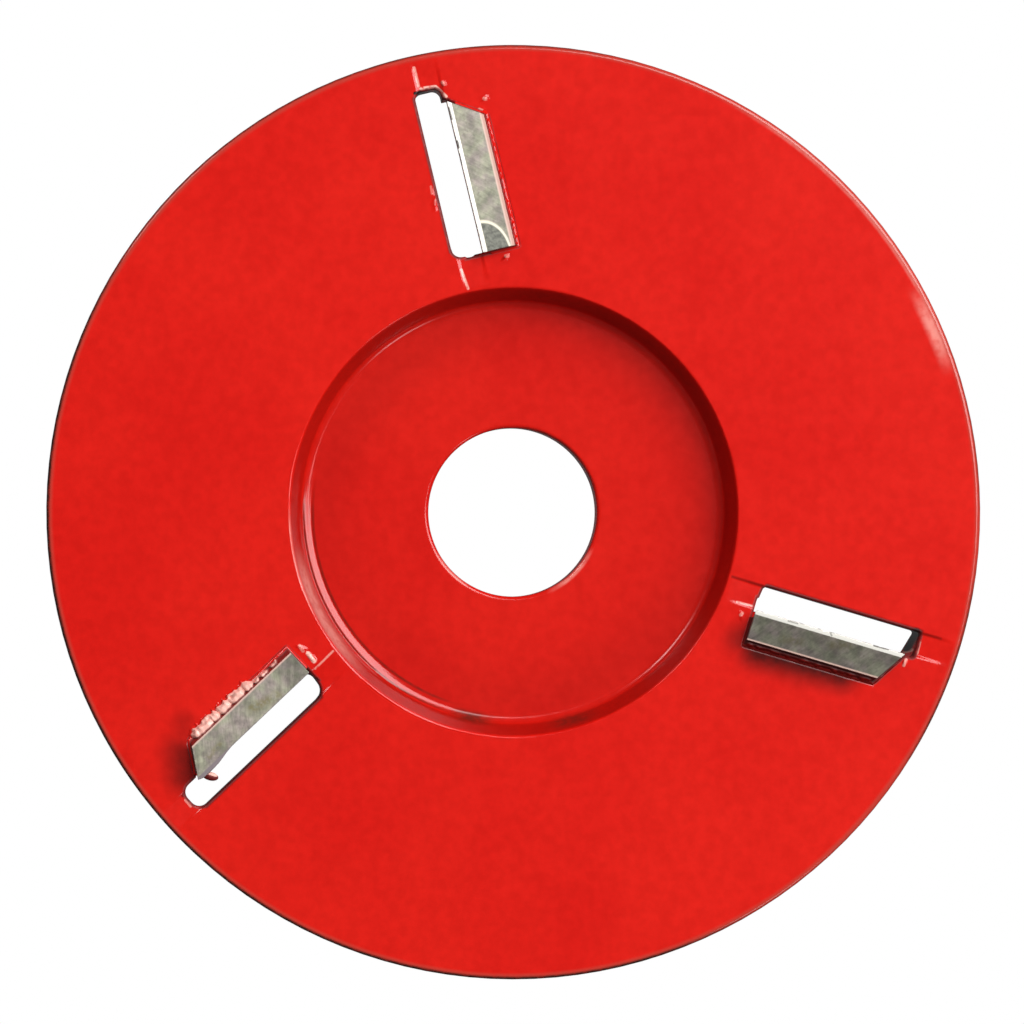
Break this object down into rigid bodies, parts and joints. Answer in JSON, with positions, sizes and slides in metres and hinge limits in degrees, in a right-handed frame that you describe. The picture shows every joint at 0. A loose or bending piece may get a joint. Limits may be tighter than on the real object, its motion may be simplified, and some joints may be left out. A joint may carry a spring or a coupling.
{
  "type": "angle grinder carving disc",
  "caption": "Painted steel carving disc with a sunken hub, an arbor bore and leaning carbide tips brazed beside radial chip slots.",
  "frame": {"origin": "arbor axis at the rear clamping face", "axes": "+Z along the arbor axis, out of the working face; the first slot's leading wall lies 103.5 degrees from +X towards +Y"},
  "size_m": [0.09, 0.09, 0.01],
  "materials": {
    "red_paint": "glossy red paint on steel",
    "carbide": "ground tungsten carbide",
    "braze": "braze under the same red paint"
  },
  "bodies": {
    "root": {"disc_body": "red_paint", "carbide_insert_1": "carbide", "carbide_insert_2": "carbide", "carbide_insert_3": "carbide", "braze_seam_1": "braze", "braze_seam_2": "braze", "braze_seam_3": "braze"}
  },
  "joints": []
}
